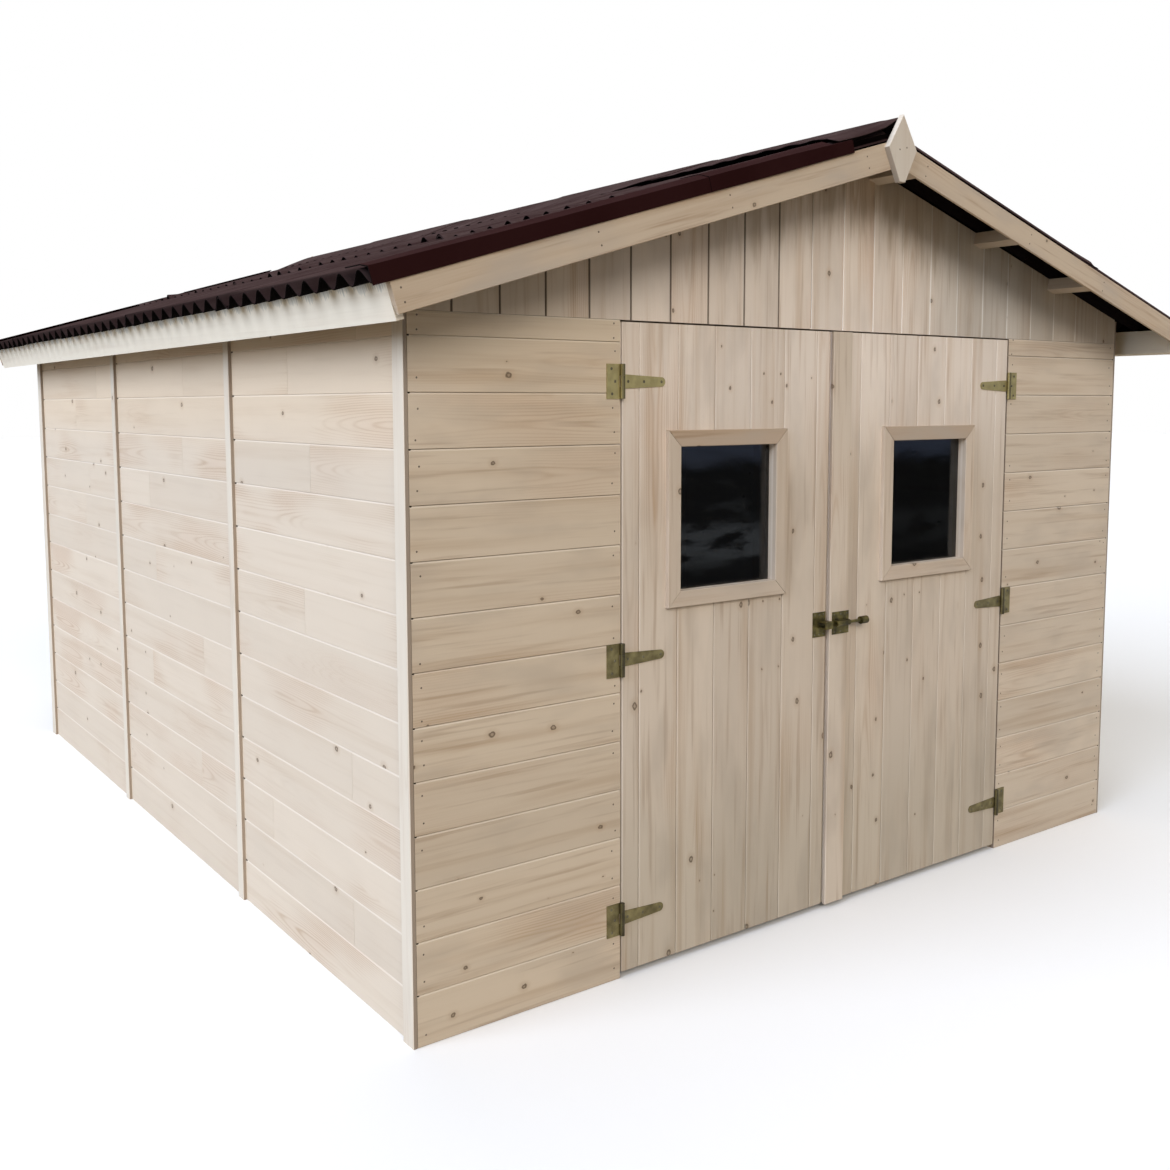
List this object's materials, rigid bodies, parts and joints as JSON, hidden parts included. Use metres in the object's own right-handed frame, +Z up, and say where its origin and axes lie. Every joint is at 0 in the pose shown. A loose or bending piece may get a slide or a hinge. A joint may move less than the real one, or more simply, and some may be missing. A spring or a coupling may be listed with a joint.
{
  "type": "wooden garden shed",
  "caption": "Gable-roofed wooden garden shed with boarded panel walls, glazed double doors on T-hinges, a barrel bolt and lapped corrugated roofing sheets.",
  "frame": {"origin": "middle of the footprint at ground level", "axes": "+Z up, -Y towards the doors, +X to the right seen from the front"},
  "size_m": [3.3839, 4.132, 2.4137],
  "materials": {
    "wall_boards": "raw sawn softwood",
    "trim_timber": "raw planed softwood",
    "frame_timber": "raw sawn softwood",
    "roofing": "matt bitumen sheet",
    "glass": "clear",
    "zinc_hardware": "yellow zinc plated"
  },
  "bodies": {
    "shed": {"left_wall_front": "wall_boards", "left_wall_middle": "wall_boards", "left_wall_back": "wall_boards", "right_wall_front": "wall_boards", "right_wall_middle": "wall_boards", "right_wall_back": "wall_boards", "left_cover_strips": "trim_timber", "right_cover_strips": "trim_timber", "left_wall_frame": "frame_timber", "right_wall_frame": "frame_timber", "front_wall_left": "wall_boards", "front_wall_right": "wall_boards", "back_wall_left": "wall_boards", "back_wall_right": "wall_boards", "back_cover_strip": "trim_timber", "front_wall_frame": "frame_timber", "back_wall_frame": "frame_timber", "right_purlins": "frame_timber", "left_purlins": "frame_timber", "front_gable": "wall_boards", "back_gable": "wall_boards", "front_bargeboards": "trim_timber", "back_bargeboards": "trim_timber", "right_fascia": "trim_timber", "left_fascia": "trim_timber", "front_finial": "trim_timber", "back_finial": "trim_timber", "left_roof_sheets": "roofing", "right_roof_sheets": "roofing", "ridge_cap": "roofing", "left_verge_trims": "roofing", "left_hinge_plates": "zinc_hardware", "right_hinge_plates": "zinc_hardware"},
    "left_door": {"left_door_leaf": "wall_boards", "left_door_ledges": "frame_timber", "left_window_frame": "trim_timber", "left_window_glass": "glass", "left_hinge_straps": "zinc_hardware", "bolt_keeper": "zinc_hardware"},
    "right_door": {"right_door_leaf": "wall_boards", "right_door_ledges": "frame_timber", "right_window_frame": "trim_timber", "right_window_glass": "glass", "right_hinge_straps": "zinc_hardware", "meeting_strip": "trim_timber", "bolt_plate": "zinc_hardware"},
    "bolt": {"sliding_bolt": "zinc_hardware"}
  },
  "joints": [
    {"name": "left_door_hinge", "type": "hinge", "parent": "shed", "child": "left_door", "pos_m": [-0.8535, -1.855, 0.9], "axis": [0, 0, -1], "range_deg": [0, 110]},
    {"name": "right_door_hinge", "type": "hinge", "parent": "shed", "child": "right_door", "pos_m": [0.8355, -1.855, 0.9], "axis": [0, 0, 1], "range_deg": [0, 110]},
    {"name": "bolt_slide", "type": "slide", "parent": "right_door", "child": "bolt", "axis": [-1, 0, 0], "range_m": [0, 0.042]}
  ]
}
